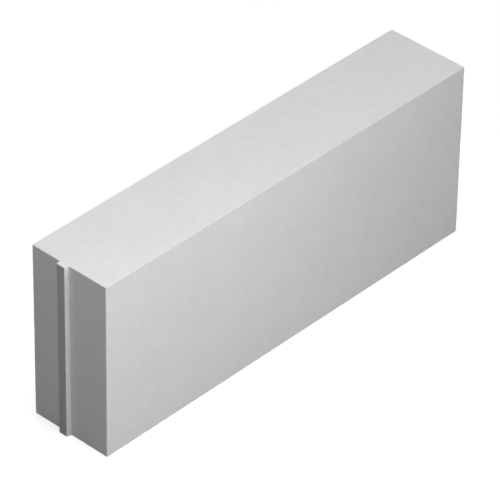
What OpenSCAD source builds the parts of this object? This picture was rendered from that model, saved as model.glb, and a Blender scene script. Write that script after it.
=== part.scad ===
// Wall block of aerated concrete with a tongue on one end, cut from a cast cake as one piece.
// Millimetres. +Z is up, +X runs along the wall from the tongue end to the plain end,
// and +Y runs through the wall to its back face.
// The origin is the middle of the lower bed face of the body, the tongue left out.

/* [Body] */
// Length of the body along the wall, between its two end faces
body_l = 600; // [300:1:800]
// Thickness of the body, which is the thickness of the wall
body_w = 115; // [90:1:365]
// Height of the body, from the lower bed face to the upper one
body_h = 240; // [150:1:400]
// How far each outer arris is eased, measured along both of its faces
arris = 1; // [0.4:0.1:2]

/* [Tongue] */
// Width of the tongue at its root, on the end face
tongue_root_w = 14.5; // [12:0.5:30]
// How far the tongue stands out of the end face
tongue_depth = 6; // [5:0.5:10]
// Lean of each flank of the tongue, away from square to the end face
flank_deg = 12; // [0:1:18]
// Distance of the tongue from the middle of the wall, towards the back face
tongue_offset = 7; // [-25:0.5:25]

/* [Hidden] */
// How far each flank moves in for every millimetre of depth
flank_run = tan(flank_deg);
tongue_front_w = tongue_root_w - 2 * tongue_depth * flank_run;
// The end face that carries the tongue, and the front of the tongue
end_x = -body_l / 2;
front_x = end_x - tongue_depth;
// How far the tongue is carried into the body, past the eased arris of the end face
tongue_keyed_in = 3 * arris;

concrete_block();

// The whole block: the body and its tongue as one solid
module concrete_block() {
  color([0.74, 0.74, 0.74])
    union() {
      body();
      tongue();
    }
}

// The sawn body, its arrises eased along all three directions
module body() {
  intersection() {
    linear_extrude(body_h)
      eased_rectangle(body_l, body_w);
    rotate([90, 0, 0])
      linear_extrude(body_w, center = true)
        translate([0, body_h / 2])
          eased_rectangle(body_l, body_h);
    rotate([90, 0, 90])
      linear_extrude(body_l, center = true)
        translate([0, body_h / 2])
          eased_rectangle(body_w, body_h);
  }
}

// The tapered tongue over the full height, its front arrises eased like those of the body
module tongue() {
  intersection() {
    translate([0, tongue_offset])
      linear_extrude(body_h)
        tongue_plan();
    rotate([90, 0, 0])
      linear_extrude(2 * body_w, center = true)
        translate([0, body_h / 2])
          eased_rectangle(-2 * front_x, body_h);
  }
}

// Plan of the tongue: straight where it is keyed into the body, then narrowing to its front
module tongue_plan() {
  root = tongue_root_w / 2;
  front = tongue_front_w / 2;
  keyed_x = end_x + tongue_keyed_in;
  eased_x = front_x + arris;
  polygon([
    [keyed_x, -root],
    [keyed_x, root],
    [end_x, root],
    [eased_x, front + arris * flank_run],
    [front_x, front - arris],
    [front_x, arris - front],
    [eased_x, -front - arris * flank_run],
    [end_x, -root]
  ]);
}

// Rectangle centred on its own axes, with the four corners cut off by the eased arris
module eased_rectangle(across, up) {
  x = across / 2;
  y = up / 2;
  polygon([
    [arris - x, -y],
    [x - arris, -y],
    [x, arris - y],
    [x, y - arris],
    [x - arris, y],
    [arris - x, y],
    [-x, y - arris],
    [-x, arris - y]
  ]);
}
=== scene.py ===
"""Sawn wall block of aerated concrete with a tongue on one end, on a plain studio floor.

The block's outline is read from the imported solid. The piece made here has the same faces,
with worn arrises, open pores and a finely porous, matt concrete.
"""

import math
from collections import namedtuple

import bpy
import numpy as np
from mathutils import Matrix, Vector, noise


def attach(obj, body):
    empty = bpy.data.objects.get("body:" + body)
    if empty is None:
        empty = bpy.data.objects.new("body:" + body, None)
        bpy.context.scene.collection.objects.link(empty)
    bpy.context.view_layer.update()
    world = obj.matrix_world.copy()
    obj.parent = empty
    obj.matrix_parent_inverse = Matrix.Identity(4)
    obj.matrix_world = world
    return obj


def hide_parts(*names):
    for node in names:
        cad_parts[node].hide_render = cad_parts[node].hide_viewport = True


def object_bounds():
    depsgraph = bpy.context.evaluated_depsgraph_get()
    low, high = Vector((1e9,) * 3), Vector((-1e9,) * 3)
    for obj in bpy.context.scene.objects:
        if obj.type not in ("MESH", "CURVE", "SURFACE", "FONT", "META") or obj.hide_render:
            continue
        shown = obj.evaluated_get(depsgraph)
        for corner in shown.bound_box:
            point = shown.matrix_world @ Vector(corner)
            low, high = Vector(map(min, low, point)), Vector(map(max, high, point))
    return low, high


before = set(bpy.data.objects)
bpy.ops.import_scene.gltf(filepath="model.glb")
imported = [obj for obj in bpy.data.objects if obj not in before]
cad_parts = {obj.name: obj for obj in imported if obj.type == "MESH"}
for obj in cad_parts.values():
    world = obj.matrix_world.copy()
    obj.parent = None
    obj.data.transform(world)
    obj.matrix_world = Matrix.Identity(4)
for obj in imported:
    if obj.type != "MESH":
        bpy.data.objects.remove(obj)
cad_low, cad_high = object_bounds()

bl_info = {
    "name": "Sawn Concrete Block",
    "version": (1, 0, 0),
    "blender": (4, 5, 0),
    "location": "View3D > Sidebar > Block",
    "description": "Makes a sawn block of aerated concrete and a plain stage for it",
    "category": "Add Mesh",
}

NODE = "concrete_block"
MM = 0.001


class BlockSettings(bpy.types.PropertyGroup):
    """Sizes and colours of the block, and the shade painted into its pores and onto the front of its
    tongue.
    """

    cell: bpy.props.FloatProperty(
        name="Cell",
        description="Distance between the mesh lines on the open faces",
        default=3.4 * MM,
        min=2 * MM,
        unit="LENGTH",
    )
    arris_radius: bpy.props.FloatProperty(
        name="Arris Radius",
        description="Radius of an arris that has only been handled",
        default=0.7 * MM,
        min=0.2 * MM,
        max=2 * MM,
        unit="LENGTH",
    )
    nick_depth: bpy.props.FloatProperty(
        name="Nick Depth",
        description="How far the deepest nicks widen an arris",
        default=1.6 * MM,
        min=0.0,
        max=2.4 * MM,
        unit="LENGTH",
    )
    waviness: bpy.props.FloatProperty(
        name="Waviness",
        description="How far the sawn faces wander inwards from a true plane",
        default=0.12 * MM,
        min=0.0,
        unit="LENGTH",
    )
    pore_count: bpy.props.IntProperty(
        name="Pores",
        description="Number of large open pores that are modelled",
        default=2000,
        min=0,
    )
    pore_width: bpy.props.FloatProperty(
        name="Pore Width",
        description="Width of the largest modelled pores",
        default=2.0 * MM,
        min=0.2 * MM,
        unit="LENGTH",
    )
    pore_depth: bpy.props.FloatProperty(
        name="Pore Depth",
        description="Depth of the deepest modelled pores",
        default=0.45 * MM,
        min=0.0,
        unit="LENGTH",
    )
    seed: bpy.props.IntProperty(
        name="Seed",
        description="Which scatter of pores is made",
        default=11,
    )
    concrete: bpy.props.FloatVectorProperty(
        name="Concrete",
        description="Colour of the dry concrete",
        default=(0.74, 0.74, 0.74),
        subtype="COLOR",
        min=0.0,
        max=1.0,
    )
    # Painted shade: the colour that stands in for the shadow down in the pores, both the small and the
    # modelled ones
    pore_painted_shade: bpy.props.FloatVectorProperty(
        name="Pore Shade",
        description="Colour down in the small pores",
        default=(0.56, 0.56, 0.56),
        subtype="COLOR",
        min=0.0,
        max=1.0,
    )
    # Painted shade: how far the front of the tongue is darkened, as a share of the concrete's own colour
    front_painted_shade: bpy.props.FloatProperty(
        name="Tongue Front Tone",
        description="Tone of the front of the tongue, as a share of the concrete's own",
        default=0.61,
        min=0.0,
        max=1.2,
        subtype="FACTOR",
    )


class StageSettings(bpy.types.PropertyGroup):
    """Floor, even light and lens of the stage."""

    ambient: bpy.props.FloatProperty(
        name="Ambient",
        description="Strength of the even light from all round",
        default=0.15,
        min=0.0,
    )
    floor_bounce: bpy.props.FloatProperty(
        name="Floor Bounce",
        description="Share of its light that the floor throws back at the block",
        default=0.2,
        min=0.0,
        max=1.0,
        subtype="FACTOR",
    )
    floor_white: bpy.props.FloatProperty(
        name="Floor White",
        description="White that the floor shows even in shadow",
        default=0.72,
        min=0.0,
        max=1.0,
        subtype="FACTOR",
    )
    floor_shade: bpy.props.FloatProperty(
        name="Floor Shade",
        description="How strongly light and shadow show on the floor",
        default=0.42,
        min=0.0,
        max=1.0,
        subtype="FACTOR",
    )
    floor_reach: bpy.props.FloatProperty(
        name="Floor Reach",
        description="Distance from the block at which the floor has turned plain white",
        default=1.4,
        min=0.5,
        unit="LENGTH",
    )
    lens: bpy.props.FloatProperty(
        name="Lens",
        description="Focal length of the camera",
        default=311.34,
        min=1.0,
        unit="CAMERA",
    )


class Value:
    """A socket that takes part in Python arithmetic by adding Math nodes."""

    def __init__(self, recipe, socket):
        self.recipe = recipe
        self.socket = socket

    def math(self, operation, first, second):
        return self.recipe.add("ShaderNodeMath", {"operation": operation}, {0: first, 1: second})

    def __add__(self, other):
        return self.math("ADD", self, other)

    def __radd__(self, other):
        return self.math("ADD", other, self)

    def __sub__(self, other):
        return self.math("SUBTRACT", self, other)

    def __rsub__(self, other):
        return self.math("SUBTRACT", other, self)

    def __mul__(self, other):
        return self.math("MULTIPLY", self, other)

    def __rmul__(self, other):
        return self.math("MULTIPLY", other, self)

    def __truediv__(self, other):
        return self.math("DIVIDE", self, other)

    def __rtruediv__(self, other):
        return self.math("DIVIDE", other, self)

    def __pow__(self, other):
        return self.math("POWER", self, other)

    def __rpow__(self, other):
        return self.math("POWER", other, self)

    def __lt__(self, other):
        return self.math("LESS_THAN", self, other)

    def __gt__(self, other):
        return self.math("GREATER_THAN", self, other)

    def at_least(self, other):
        return self.math("MAXIMUM", self, other)

    def part(self, name):
        """Another output of the same node."""
        return Value(self.recipe, self.socket.node.outputs[name])


class Recipe:
    """The node tree of one material or world."""

    def __init__(self, owner):
        owner.use_nodes = True
        self.tree = owner.node_tree
        self.tree.nodes.clear()

    def add(self, kind, settings=None, sockets=None, out=0):
        """Add a node, set it up, join or fill its sockets, and give back one of its outputs."""
        node = self.tree.nodes.new(kind)
        for name, value in (settings or {}).items():
            setattr(node, name, value)
        for name, value in (sockets or {}).items():
            if isinstance(value, Value):
                self.tree.links.new(value.socket, node.inputs[name])
            else:
                node.inputs[name].default_value = value
        return Value(self, node.outputs[out]) if node.outputs else None

    def blend(self, factor, first, second):
        """A colour that goes from first to second as factor goes from 0 to 1."""
        return self.add(
            "ShaderNodeMix",
            {"data_type": "RGBA", "clamp_factor": True},
            {0: factor, 6: first, 7: second},
            out=2,
        )

    def speckle(self, where, width, detail=2.0, roughness=0.55):
        """Soft noise from 0 to 1 whose blotches are about width metres across."""
        return self.add(
            "ShaderNodeTexNoise",
            {"noise_dimensions": "3D"},
            {"Vector": where, "Scale": 1 / width, "Detail": detail, "Roughness": roughness},
        )

    def cups(self, where, spacing, smallest, largest):
        """Round hollows, 1 at their middle and 0 outside, with radii given as shares of their spacing."""
        cells = self.add(
            "ShaderNodeTexVoronoi",
            {"feature": "F1"},
            {"Vector": where, "Scale": 1 / spacing},
        )
        chance = self.add("ShaderNodeSeparateColor", None, {"Color": cells.part("Color")})
        radius = smallest + (largest - smallest) * chance**2
        return (1 - (cells / radius) ** 2).at_least(0.0)


def rgba(colour):
    """The colour with full opacity."""
    return (*colour, 1.0)


# The block's lowest and highest corners, the end face beside the tongue, the middle of the tongue
# across the wall, half the width of its root, and how far a flank leans in for each metre of depth
Plan = namedtuple("Plan", "low high end_x middle root taper")

# Points of the solid that are this close lie on the same plane
SAME_PLANE = 0.01 * MM
# Share of the thickness, from the front face, that the tongue stays clear of
FRONT_STRIP = 0.1
# Distances of the lattice lines from an arris, in millimetres, wide enough for the deepest nick
ARRIS_LINES = (0.0, 0.35, 0.8, 1.4, 2.3, 3.6)


def plan_of_block(mesh):
    """The plan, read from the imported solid."""
    points = np.array([v.co for v in mesh.vertices])
    low, high = points.min(0), points.max(0)
    beside_tongue = points[points[:, 1] < low[1] + FRONT_STRIP * (high[1] - low[1])]
    end_x = beside_tongue[:, 0].min()
    on_front_face = beside_tongue[beside_tongue[:, 1] < low[1] + SAME_PLANE]
    arris = on_front_face[:, 0].min() - end_x
    tongue_front = points[points[:, 0] < low[0] + SAME_PLANE][:, 1]
    middle = (tongue_front.min() + tongue_front.max()) / 2
    # The root lies on the end face, closer to the middle of the tongue than the body's own corners
    root = np.abs(points[np.abs(points[:, 0] - end_x) < SAME_PLANE][:, 1] - middle).min()
    eased_x = low[0] + arris
    eased = np.abs(points[np.abs(points[:, 0] - eased_x) < SAME_PLANE][:, 1] - middle).max()
    taper = (root - eased) / (end_x - eased_x)
    return Plan(low, high, end_x, middle, root, taper)


def lines_between(low, high, cell, worn_low, worn_high):
    """Lattice lines from low to high, set closer beside the ends that are arrises."""
    steps = np.array(ARRIS_LINES) * MM
    first = low + steps[-1] if worn_low else low
    last = high - steps[-1] if worn_high else high
    count = max(1, round((last - first) / cell))
    lines = list(np.linspace(first, last, count + 1))
    if worn_low:
        lines = list(low + steps[:-1]) + lines
    if worn_high:
        lines = lines + list(high - steps[-2::-1])
    return lines


def lattice(plan, cell):
    """The lines along X, Y and Z, and which of them are the end face and the sides of the root."""
    low, high, end_x = plan.low, plan.high, plan.end_x
    root_low, root_high = plan.middle - plan.root, plan.middle + plan.root
    tongue_x = lines_between(low[0], end_x, cell, True, False)
    body_x = lines_between(end_x, high[0], cell, True, True)
    front_y = lines_between(low[1], root_low, cell, True, False)
    tongue_y = lines_between(root_low, root_high, cell, True, True)
    back_y = lines_between(root_high, high[1], cell, False, True)
    xs = np.array(tongue_x[:-1] + body_x)
    ys = np.array(front_y[:-1] + tongue_y + back_y[1:])
    zs = np.array(lines_between(low[2], high[2], cell, True, True))
    root_at = (len(tongue_x) - 1, len(front_y) - 1, len(front_y) + len(tongue_y) - 2)
    return xs, ys, zs, root_at


def at_level(places, level):
    """Lattice places in the plan, put at one level."""
    return np.column_stack([places, np.full(len(places), level)])


def bed_quads(filled, levels):
    """Corner places of the level faces, the upper bed and then the lower one."""
    cells = np.argwhere(filled)
    corners = [cells + offset for offset in ((0, 0), (1, 0), (1, 1), (0, 1))]
    upper = np.stack([at_level(corner, levels) for corner in corners], 1)
    lower = np.stack([at_level(corner, 0) for corner in reversed(corners)], 1)
    return np.concatenate([upper, lower])


def wall_quads(filled, levels, axis):
    """Corner places of the upright faces across an axis of the plan, level by level."""
    padded = np.pad(filled, 1)
    sideways = np.eye(2, dtype=int)[1 - axis]
    quads = []
    for side in (0, 1):
        neighbour = np.roll(padded, 1 - 2 * side, axis)[1:-1, 1:-1]
        right = np.argwhere(filled & ~neighbour)
        right[:, axis] += side
        left = right + sideways
        # Right and left are as seen from outside
        if side != axis:
            right, left = left, right
        for level in range(levels):
            corners = ((right, level), (right, level + 1), (left, level + 1), (left, level))
            quads.append(np.stack([at_level(*corner) for corner in corners], 1))
    return np.concatenate(quads)


def shell(plan, cell):
    """Points and quads of the sharp-edged block on its lattice, and which points are on the tongue."""
    xs, ys, zs, (end, front, back) = lattice(plan, cell)
    filled = np.zeros((len(xs) - 1, len(ys) - 1), bool)
    filled[end:] = True
    filled[:end, front:back] = True
    levels = len(zs) - 1
    faces = [bed_quads(filled, levels), wall_quads(filled, levels, 0), wall_quads(filled, levels, 1)]
    used, quads = np.unique(np.concatenate(faces).reshape(-1, 3), axis=0, return_inverse=True)
    points = np.stack([xs[used[:, 0]], ys[used[:, 1]], zs[used[:, 2]]], 1)
    return points, quads.reshape(-1, 4), used[:, 0] < end


# Width of the patches in which handling has rounded the arrises more or less, and by what share
HANDLED_PATCH = 21 * MM
HANDLED_CHANGE = 0.35
# Width of the patches that hold a nick, the noise at which it starts and how much more makes it full,
# and a step in metres that takes its noise away from the handling's
NICK_PATCH = 9 * MM
NICK_START = 0.36
NICK_SPAN = 0.4
NICK_STEP = 3.0
# Wear of the tongue's arrises, as a share of the body's
TONGUE_WEAR = 0.5
# Distance from the root of the tongue within which an arris fades out
ROOT_FADE = 2.5 * MM
# Concrete lost where an arris shows as fully worn
FULL_WEAR = 0.5 * MM
# Width of the waves in the sawn faces
WAVE_WIDTH = 48 * MM
# Least radius and reach, in metres, so that nothing is divided by zero
LEAST_RADIUS = 1e-7
LEAST_REACH = 1e-9


def noise_at(points, width):
    """Smooth noise from about -1 to 1 at each point, with blotches about width metres across."""
    return np.array([noise.noise(Vector(p) / width) for p in points])


def arris_radii(points, on_tongue, plan, settings):
    """Radius of the arris near each point, with its nicks."""
    handled = settings.arris_radius * (1 + HANDLED_CHANGE * noise_at(points, HANDLED_PATCH))
    nicks = np.clip((noise_at(points + NICK_STEP, NICK_PATCH) - NICK_START) / NICK_SPAN, 0, 1)
    radii = (handled + settings.nick_depth * nicks) * np.where(on_tongue, TONGUE_WEAR, 1.0)
    # The arris dies away where the tongue grows out of the end face
    beside = np.clip(np.abs(points[:, 1] - plan.middle) - plan.root, 0, None)
    behind = np.clip(points[:, 0] - plan.end_x - ARRIS_LINES[-1] * MM, 0, None)
    away = np.where(on_tongue, plan.end_x - points[:, 0], np.hypot(beside, behind))
    return np.clip(radii * np.clip(away / ROOT_FADE, 0, 1), LEAST_RADIUS, None)


def worn(points, on_tongue, plan, settings):
    """The points with every arris rounded and nicked, and how worn each one is, from 0 to 1."""
    low, high, end_x, middle, root, taper = plan
    radii = arris_radii(points, on_tongue, plan, settings)[:, None]
    tongue_rows = on_tongue[:, None]
    box_low = np.where(tongue_rows, [low[0], middle - root, low[2]], [end_x, low[1], low[2]])
    box_high = np.where(tongue_rows, [high[0], middle + root, high[2]], high)
    core = np.clip(points, box_low + radii, box_high - radii)
    out = points - core
    reach = np.linalg.norm(out, axis=1, keepdims=True)
    rounded = core + out * np.minimum(1, radii / np.maximum(reach, LEAST_REACH))
    wear = np.clip(np.linalg.norm(rounded - points, axis=1) / FULL_WEAR, 0, 1)
    # The flanks of the tongue lean in towards its front
    squeeze = 1 - np.clip(end_x - rounded[:, 0], 0, None) * taper / root
    rounded[:, 1] = np.where(on_tongue, middle + (rounded[:, 1] - middle) * squeeze, rounded[:, 1])
    return rounded, wear


def let_wander(mesh, points, depth):
    """Let the faces of the mesh, which has these points, wander inwards by up to depth."""
    normals = np.zeros(len(points) * 3)
    mesh.vertex_normals.foreach_get("vector", normals)
    inwards = np.clip(depth * (0.5 + 0.5 * noise_at(points, WAVE_WIDTH)), 0, None)
    moved = points - normals.reshape(-1, 3) * inwards[:, None]
    mesh.vertices.foreach_set("co", moved.ravel())


# Points on the rim of a modelled pore, two for each corner of its cell, and in the whole of it:
# rim, inner ring and bottom
RIM = 8
PORE_POINTS = 2 * RIM + 1
# How hollow each of these points is, by which the material paints shade into the pore: the rim lies in
# the face
PORE_HOLLOW = [0.0] * RIM + [1.0] * (RIM + 1)
# Directions of the rim's points, of which the second one faces the first corner of the cell
RIM_ANGLES = np.arange(RIM) * 2 * math.pi / RIM + math.pi
# Shares of a whole cell: its least side that leaves room for a pore, the widest pore in it, and
# how far from its middle a pore may reach
LEAST_SIDE = 0.8
WIDEST_PORE = 0.85
PORE_REACH = 0.46
# Smallest width and least depth, as shares of the largest
SMALLEST_PORE = 0.35
SHALLOWEST_PORE = 0.5
# Least and greatest distance of the rim's points from the middle, as shares of half the pore's width
RIM_SPREAD = (0.8, 1.08)
# Shares of the rim's width and of the pore's depth at which the inner ring lies
INNER_WIDTH = 0.6
INNER_DEPTH = 0.75


def pore_points(draw, middle, along, aside, room, settings):
    """Rim, inner ring and bottom of a pore, drawn somewhere in the room around the middle of a cell."""
    largest = min(settings.pore_width, WIDEST_PORE * room) / 2
    size = largest * (SMALLEST_PORE + (1 - SMALLEST_PORE) * draw.random() ** 2)
    slack = PORE_REACH * room - size
    shift = draw.uniform(-slack, slack, 2)
    centre = middle + shift[0] * along + shift[1] * aside
    share = SHALLOWEST_PORE + (1 - SHALLOWEST_PORE) * draw.random()
    depth = settings.pore_depth * share * size / largest
    rim = size * draw.uniform(*RIM_SPREAD, RIM)
    spokes = np.cos(RIM_ANGLES)[:, None] * along + np.sin(RIM_ANGLES)[:, None] * aside
    inward = np.cross(aside, along)
    ring = centre + rim[:, None] * spokes
    inner_ring = centre + INNER_WIDTH * rim[:, None] * spokes + INNER_DEPTH * depth * inward
    return np.vstack([ring, inner_ring, centre + depth * inward])


def pore_faces(cell_corners, first):
    """Faces of a pore and of the cell around it, with first as the first of the pore's points."""
    outer = range(first, first + RIM)
    inner = range(first + RIM, first + 2 * RIM)
    bottom = first + 2 * RIM
    faces = []
    for n, corner in enumerate(cell_corners):
        before, facing, after = outer[2 * n], outer[2 * n + 1], outer[(2 * n + 2) % RIM]
        following = cell_corners[(n + 1) % len(cell_corners)]
        faces += [(before, corner, facing), (facing, corner, after), (after, corner, following)]
    for m in range(RIM):
        n = (m + 1) % RIM
        faces += [(outer[m], outer[n], inner[n], inner[m]), (inner[m], inner[n], bottom)]
    return faces


def open_pores(points, quads, settings):
    """Sink a pore into some of the open cells, and give back all points and faces."""
    draw = np.random.default_rng(settings.seed)
    corners = points[quads]
    along, aside = corners[:, 1] - corners[:, 0], corners[:, 3] - corners[:, 0]
    width, height = np.linalg.norm(along, axis=1), np.linalg.norm(aside, axis=1)
    room = np.minimum(width, height)
    able = np.nonzero(room > LEAST_SIDE * settings.cell)[0]
    chosen = draw.choice(able, min(settings.pore_count, len(able)), replace=False)
    faces = [tuple(quad) for quad in np.delete(quads, chosen, axis=0)]
    pores = []
    for cell in chosen:
        faces += pore_faces(quads[cell], len(points) + PORE_POINTS * len(pores))
        directions = along[cell] / width[cell], aside[cell] / height[cell]
        pores.append(pore_points(draw, corners[cell].mean(0), *directions, room[cell], settings))
    return np.concatenate([points, *pores]), faces


def mark_rims(mesh, first):
    """Keep the rims of the pores, whose points start at first, crisp and the faces around them flat."""
    ends = np.empty(len(mesh.edges) * 2, int)
    mesh.edges.foreach_get("vertices", ends)
    pore, place = np.divmod(ends.reshape(-1, 2) - first, PORE_POINTS)
    on_rim = (pore[:, 0] == pore[:, 1]) & (pore[:, 0] >= 0) & (place < RIM).all(1)
    sharp = np.empty(len(mesh.edges), bool)
    mesh.edges.foreach_get("use_edge_sharp", sharp)
    mesh.edges.foreach_set("use_edge_sharp", sharp | on_rim)


# Widths of the patterns in the concrete
CLOUD_WIDTH = 60 * MM
BLOTCH_WIDTH = 11 * MM
GRAIN_WIDTH = 1.2 * MM
# Spacing of the small pores, and their least and greatest radius as shares of it
LARGE_CUPS = (2.4 * MM, 0.10, 0.36)
SMALL_CUPS = (0.9 * MM, 0.16, 0.42)
# How strongly the patterns and the wear change the tone, which goes from 0, dark, to 1, light
CLOUD_TONE = 0.5
BLOTCH_TONE = 0.55
GRAIN_TONE = 1.25
WEAR_TONE = 0.15
# How far the dark and the light tone are from the concrete's colour, as a share of it
TONE_RANGE = 0.07
# How much of the painted pore shade shows in the small pores, what share of that in the smaller kind of
# them, and how much in the modelled pores
CUP_SHADE = 0.75
SMALL_CUP_SHADE = 0.7
HOLLOW_SHADE = 0.8
# Relief of the patterns and depth of the small pores, in millimetres
BLOTCH_RELIEF = 0.08
GRAIN_RELIEF = 0.08
LARGE_CUP_DEPTH = 0.17
SMALL_CUP_DEPTH = 0.06
# Roughness, how much of it changes with the grain, and specular level
ROUGHNESS = 0.9
GRAIN_ROUGHNESS = 0.1
SPECULAR = 0.25
# The painted shade on the tongue's front starts this far in front of the end face, on faces whose normal
# points at least this much along -X
FRONT_GAP = 0.3 * MM
FRONT_FACING = 0.7


def concrete_finish(settings, plan):
    """Matt aerated concrete: faint clouds, grain, small pores with painted shade in them, and painted
    shade on the front of the tongue.
    """
    material = bpy.data.materials.new("aerated_concrete")
    make = Recipe(material)
    where = make.add("ShaderNodeTexCoord").part("Object")
    clouds = make.speckle(where, CLOUD_WIDTH, detail=3.0) - 0.5
    blotches = make.speckle(where, BLOTCH_WIDTH) - 0.5
    grain = make.speckle(where, GRAIN_WIDTH, detail=3.0) - 0.5
    large = make.cups(where, *LARGE_CUPS)
    small = make.cups(where, *SMALL_CUPS)
    wear = make.add("ShaderNodeAttribute", {"attribute_name": "arris_wear"}).part("Fac")
    hollow = make.add("ShaderNodeAttribute", {"attribute_name": "pore_hollow"}).part("Fac")

    tone = 0.5 + clouds * CLOUD_TONE + blotches * BLOTCH_TONE + grain * GRAIN_TONE + wear * WEAR_TONE
    light = [min(1.0, c * (1 + TONE_RANGE)) for c in settings.concrete]
    dark = [c * (1 - TONE_RANGE) for c in settings.concrete]
    body = make.blend(tone, rgba(dark), rgba(light))
    # Painted shade: the small pores of the pattern and the hollows of the modelled pores are darkened
    # towards the pore shade
    cups = large.at_least(small * SMALL_CUP_SHADE)
    body = make.blend(cups * CUP_SHADE, body, rgba(settings.pore_painted_shade))
    body = make.blend(hollow * HOLLOW_SHADE, body, rgba(settings.pore_painted_shade))

    place = make.add("ShaderNodeSeparateXYZ", None, {"Vector": where})
    normal = make.add("ShaderNodeNewGeometry").part("Normal")
    facing = make.add("ShaderNodeSeparateXYZ", None, {"Vector": normal})
    # Painted shade: the faces of the tongue's front, picked by their place and the way they face, are
    # darkened
    on_tongue = place.part("X") < plan.end_x - FRONT_GAP
    painted_shade_front = on_tongue * (facing.part("X") < -FRONT_FACING)
    shade = 1 + painted_shade_front * (settings.front_painted_shade - 1)
    body = make.add("ShaderNodeVectorMath", {"operation": "SCALE"}, {0: body, "Scale": shade})

    relief = grain * GRAIN_RELIEF + blotches * BLOTCH_RELIEF
    relief = relief - large * LARGE_CUP_DEPTH - small * SMALL_CUP_DEPTH
    bump = make.add("ShaderNodeBump", None, {"Strength": 1.0, "Distance": MM, "Height": relief})
    surface = make.add(
        "ShaderNodeBsdfPrincipled",
        None,
        {
            "Base Color": body,
            "Roughness": ROUGHNESS + grain * GRAIN_ROUGHNESS,
            "Specular IOR Level": SPECULAR,
            "Normal": bump,
        },
    )
    make.add("ShaderNodeOutputMaterial", None, {"Surface": surface})
    return material


# Edges between faces that meet at more than this are shaded sharp
SHARP_ANGLE = math.radians(50)


class SAWNBLOCK_OT_block(bpy.types.Operator):
    """Make the block with its tongue, worn arrises and open pores"""

    bl_idname = "sawn_block.make_block"
    bl_label = "Make Block"
    bl_options = {"REGISTER", "UNDO"}

    def execute(self, context):
        settings = context.scene.sawn_block
        plan = plan_of_block(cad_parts[NODE].data)
        points, quads, on_tongue = shell(plan, settings.cell)
        points, wear = worn(points, on_tongue, plan, settings)
        first_pore = len(points)
        points, faces = open_pores(points, quads, settings)
        in_pores = len(points) - first_pore
        hollow = np.tile(PORE_HOLLOW, in_pores // PORE_POINTS)

        mesh = bpy.data.meshes.new("sawn_block")
        mesh.from_pydata(points, [], faces)
        mesh.update()
        let_wander(mesh, points, settings.waviness)
        for name, values in (
            ("arris_wear", np.pad(wear, (0, in_pores))),
            ("pore_hollow", np.pad(hollow, (first_pore, 0))),
        ):
            mesh.attributes.new(name, "FLOAT", "POINT").data.foreach_set("value", values)
        mesh.polygons.foreach_set("use_smooth", np.ones(len(faces), bool))
        mesh.set_sharp_from_angle(angle=SHARP_ANGLE)
        mark_rims(mesh, first_pore)
        if mesh.validate():
            raise RuntimeError("the block's mesh has broken faces")
        mesh.materials.append(concrete_finish(settings, plan))

        block = bpy.data.objects.new("sawn_block", mesh)
        context.scene.collection.objects.link(block)
        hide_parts(NODE)
        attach(block, "root")
        return {"FINISHED"}


WHITE = (1.0, 1.0, 1.0, 1.0)
FLOOR_WIDTH = 30.0
# Share of the floor's reach up to which it shows all its light and shadow
FLOOR_NEAR = 0.4
# Where each lamp hangs, how wide it is and its power, in metres and watts
LAMPS = {
    "high_lamp": ((0.0, -0.05, 2.89), 1.0, 28.1),
    "front_lamp": ((0.6, -2.43, 1.66), 1.0, 2.2),
    "near_lamp": ((-0.26, -0.97, 0.6), 0.3, 6.57),
    "end_lamp": ((-0.756, -0.196, 0.786), 0.7, 1.85),
    "back_lamp": ((1.5, 2.2, 0.7), 1.2, 30.0),
}
# Where the camera stands, and how it is turned: round the block, up from level and about its own axis
CAMERA_AT = (-2.9672, -2.7255, 3.1102)
CAMERA_AZIMUTH = math.radians(-47.38)
CAMERA_ELEVATION = math.radians(36.75)
CAMERA_ROLL = math.radians(0.976)
# Width of the camera's sensor in millimetres, and how far it sees in metres
SENSOR_WIDTH = 36.0
CLIP_END = 100.0


def seen_rays(make):
    """1 for a ray that shows the stage itself: from the camera, in a reflection or through glass."""
    ray = make.add("ShaderNodeLightPath")
    reflected = ray.part("Is Glossy Ray").at_least(ray.part("Is Transmission Ray"))
    return ray.part("Is Camera Ray").at_least(reflected)


def floor_finish(settings):
    """White floor that keeps the block's shadow and throws little light back at it."""
    material = bpy.data.materials.new("studio_floor")
    make = Recipe(material)
    hidden = make.add("ShaderNodeBsdfDiffuse", None, {"Color": rgba([settings.floor_bounce] * 3)})
    lit = make.add("ShaderNodeBsdfDiffuse", None, {"Color": rgba([settings.floor_shade] * 3)})
    glow = make.add("ShaderNodeEmission", None, {"Strength": settings.floor_white})
    near = make.add("ShaderNodeAddShader", None, {0: lit, 1: glow})
    white = make.add("ShaderNodeEmission", None, {"Strength": 1.0})
    where = make.add("ShaderNodeTexCoord").part("Object")
    away = make.add("ShaderNodeVectorMath", {"operation": "LENGTH"}, {0: where}).part("Value")
    reach = settings.floor_reach
    far = make.add(
        "ShaderNodeMapRange",
        {"interpolation_type": "SMOOTHSTEP"},
        {"Value": away, "From Min": FLOOR_NEAR * reach, "From Max": reach},
    )
    shown = make.add("ShaderNodeMixShader", None, {0: far, 1: near, 2: white})
    mixed = make.add("ShaderNodeMixShader", None, {0: seen_rays(make), 1: hidden, 2: shown})
    make.add("ShaderNodeOutputMaterial", None, {"Surface": mixed})
    return material


def lay_floor(scene, settings):
    """Lay the floor that the block stands on."""
    half = FLOOR_WIDTH / 2
    corners = [(-half, -half, 0), (half, -half, 0), (half, half, 0), (-half, half, 0)]
    mesh = bpy.data.meshes.new("floor")
    mesh.from_pydata(corners, [], [(0, 1, 2, 3)])
    mesh.materials.append(floor_finish(settings))
    floor = bpy.data.objects.new("floor", mesh)
    scene.collection.objects.link(floor)


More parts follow.
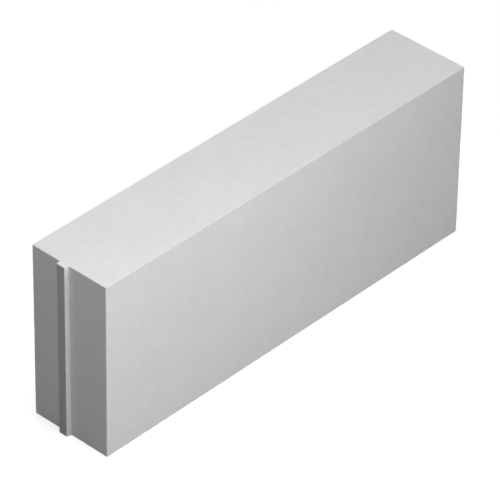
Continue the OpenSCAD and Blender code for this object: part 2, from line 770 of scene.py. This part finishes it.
def light_room(scene, strength):
    """Give the block even light from all round, and the camera a white room."""
    world = bpy.data.worlds.new("studio")
    scene.world = world
    make = Recipe(world)
    ambient = make.add("ShaderNodeBackground", None, {"Strength": strength, "Color": WHITE})
    white = make.add("ShaderNodeBackground", None, {"Strength": 1.0, "Color": WHITE})
    mixed = make.add("ShaderNodeMixShader", None, {0: seen_rays(make), 1: ambient, 2: white})
    make.add("ShaderNodeOutputWorld", None, {"Surface": mixed})


def hang_lamps(scene):
    """Hang the soft lamps, which look at the middle of the block and are hidden from the camera."""
    middle = (cad_low + cad_high) / 2
    for name, (place, width, power) in LAMPS.items():
        light = bpy.data.lights.new(name, "AREA")
        light.shape = "SQUARE"
        light.size = width
        light.energy = power
        lamp = bpy.data.objects.new(name, light)
        lamp.location = place
        lamp.rotation_euler = (middle - Vector(place)).to_track_quat("-Z", "Y").to_euler()
        lamp.visible_camera = False
        scene.collection.objects.link(lamp)


def stand_camera(scene, focal_length):
    """Stand the camera in its place and make it the scene's own."""
    lens = bpy.data.cameras.new("camera")
    lens.sensor_width = SENSOR_WIDTH
    lens.lens = focal_length
    lens.clip_end = CLIP_END
    camera = bpy.data.objects.new("camera", lens)
    round_block = Matrix.Rotation(CAMERA_AZIMUTH, 3, "Z")
    from_level = Matrix.Rotation(math.pi / 2 - CAMERA_ELEVATION, 3, "X")
    about_axis = Matrix.Rotation(CAMERA_ROLL, 3, "Z")
    camera.location = CAMERA_AT
    camera.rotation_euler = (round_block @ from_level @ about_axis).to_euler()
    scene.collection.objects.link(camera)
    scene.camera = camera


class SAWNBLOCK_OT_stage(bpy.types.Operator):
    """Set up the floor, the lamps and the camera"""

    bl_idname = "sawn_block.set_stage"
    bl_label = "Set Stage"
    bl_options = {"REGISTER", "UNDO"}

    def execute(self, context):
        scene = context.scene
        settings = scene.sawn_stage
        scene.view_settings.view_transform = "Standard"
        lay_floor(scene, settings)
        light_room(scene, settings.ambient)
        hang_lamps(scene)
        stand_camera(scene, settings.lens)
        return {"FINISHED"}


class SAWNBLOCK_PT_panel(bpy.types.Panel):
    """Settings and operators of the block and the stage"""

    bl_idname = "SAWNBLOCK_PT_panel"
    bl_label = "Concrete Block"
    bl_space_type = "VIEW_3D"
    bl_region_type = "UI"
    bl_category = "Block"

    def draw(self, context):
        for group, operator in (
            (context.scene.sawn_block, SAWNBLOCK_OT_block),
            (context.scene.sawn_stage, SAWNBLOCK_OT_stage),
        ):
            box = self.layout.box()
            for name in group.__annotations__:
                box.prop(group, name)
            box.operator(operator.bl_idname)


CLASSES = (BlockSettings, StageSettings, SAWNBLOCK_OT_block, SAWNBLOCK_OT_stage, SAWNBLOCK_PT_panel)


def register():
    for cls in CLASSES:
        bpy.utils.register_class(cls)
    bpy.types.Scene.sawn_block = bpy.props.PointerProperty(type=BlockSettings)
    bpy.types.Scene.sawn_stage = bpy.props.PointerProperty(type=StageSettings)


def unregister():
    del bpy.types.Scene.sawn_stage
    del bpy.types.Scene.sawn_block
    for cls in reversed(CLASSES):
        bpy.utils.unregister_class(cls)


def main():
    register()
    bpy.ops.sawn_block.make_block()
    bpy.ops.sawn_block.set_stage()


if __name__ == "__main__":
    main()
